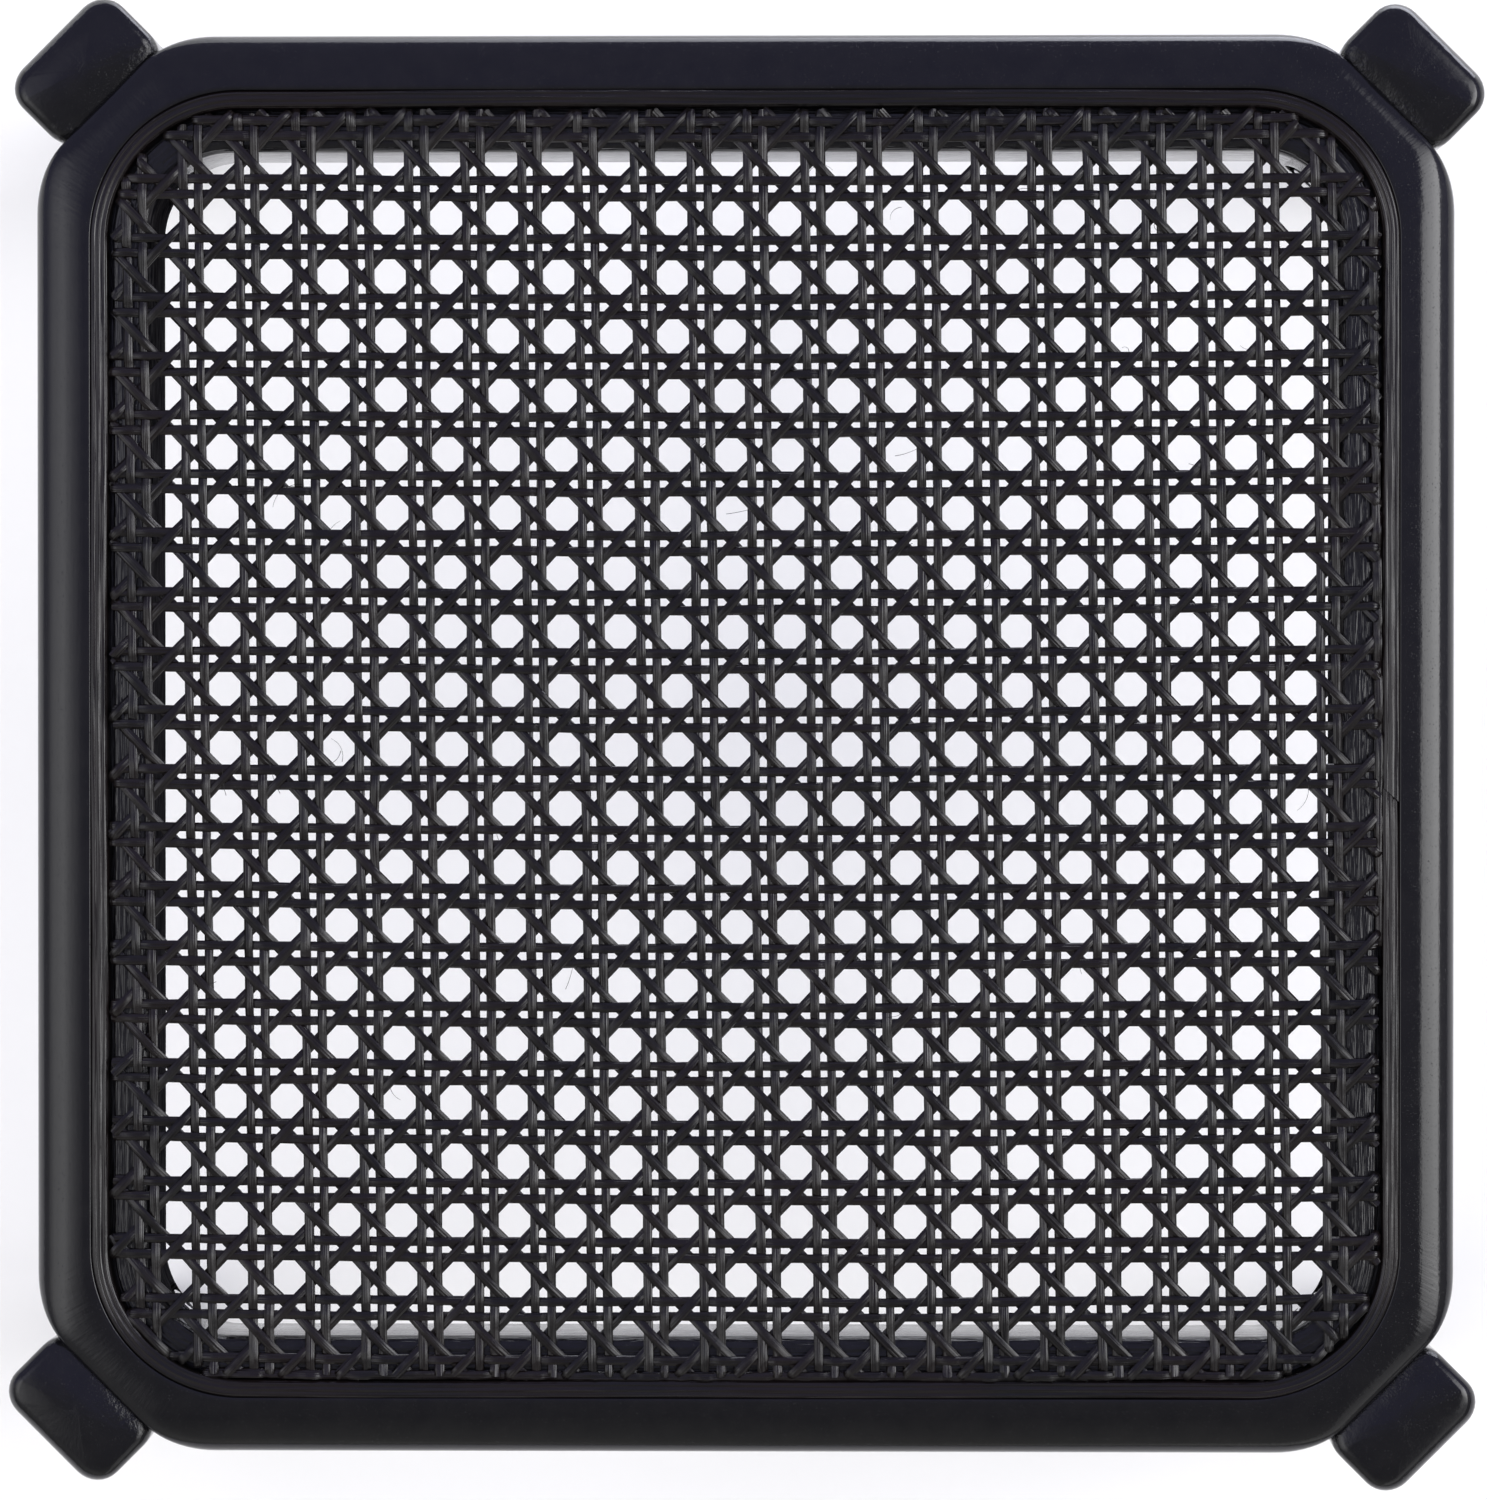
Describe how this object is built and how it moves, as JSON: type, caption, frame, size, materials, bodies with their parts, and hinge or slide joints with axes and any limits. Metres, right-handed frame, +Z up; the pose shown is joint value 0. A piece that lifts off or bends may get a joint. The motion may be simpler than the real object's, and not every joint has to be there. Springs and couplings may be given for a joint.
{
  "type": "cane seat stool",
  "caption": "Square stool: a black lacquered frame with cut corners holds a seat of woven cane, on splayed, tapered legs set across the corners.",
  "frame": {"origin": "on the floor under the middle of the seat", "axes": "+Z up; +X towards the right rail, +Y towards the back rail; the seat's sides lie along X and Y"},
  "size_m": [0.467, 0.4712, 0.451],
  "materials": {
    "lacquered_wood": "satin-gloss black lacquer over wood",
    "woven_cane": "satin black lacquered cane, finely striated along each strand",
    "reed": "satin black lacquered reed, striated along its length",
    "plated_steel": "bright zinc-plated steel",
    "zinc_alloy": "dull cast zinc alloy",
    "raw_beech": "unfinished beech",
    "nylon": "matte black nylon"
  },
  "bodies": {
    "root": {"rail_right": "lacquered_wood", "rail_back": "lacquered_wood", "rail_left": "lacquered_wood", "rail_front": "lacquered_wood", "cane_webbing": "woven_cane", "reed_spline": "reed", "leg_back_right": "lacquered_wood", "mitre_tongue_back_right": "raw_beech", "corner_bolt_back_right": "plated_steel", "bolt_washer_back_right": "plated_steel", "threaded_insert_back_right": "zinc_alloy", "dowel_a_back_right": "raw_beech", "dowel_b_back_right": "raw_beech", "glide_back_right": "nylon", "glide_nail_back_right": "plated_steel", "leg_back_left": "lacquered_wood", "mitre_tongue_back_left": "raw_beech", "corner_bolt_back_left": "plated_steel", "bolt_washer_back_left": "plated_steel", "threaded_insert_back_left": "zinc_alloy", "dowel_a_back_left": "raw_beech", "dowel_b_back_left": "raw_beech", "glide_back_left": "nylon", "glide_nail_back_left": "plated_steel", "leg_front_left": "lacquered_wood", "mitre_tongue_front_left": "raw_beech", "corner_bolt_front_left": "plated_steel", "bolt_washer_front_left": "plated_steel", "threaded_insert_front_left": "zinc_alloy", "dowel_a_front_left": "raw_beech", "dowel_b_front_left": "raw_beech", "glide_front_left": "nylon", "glide_nail_front_left": "plated_steel", "leg_front_right": "lacquered_wood", "mitre_tongue_front_right": "raw_beech", "corner_bolt_front_right": "plated_steel", "bolt_washer_front_right": "plated_steel", "threaded_insert_front_right": "zinc_alloy", "dowel_a_front_right": "raw_beech", "dowel_b_front_right": "raw_beech", "glide_front_right": "nylon", "glide_nail_front_right": "plated_steel"}
  },
  "joints": []
}
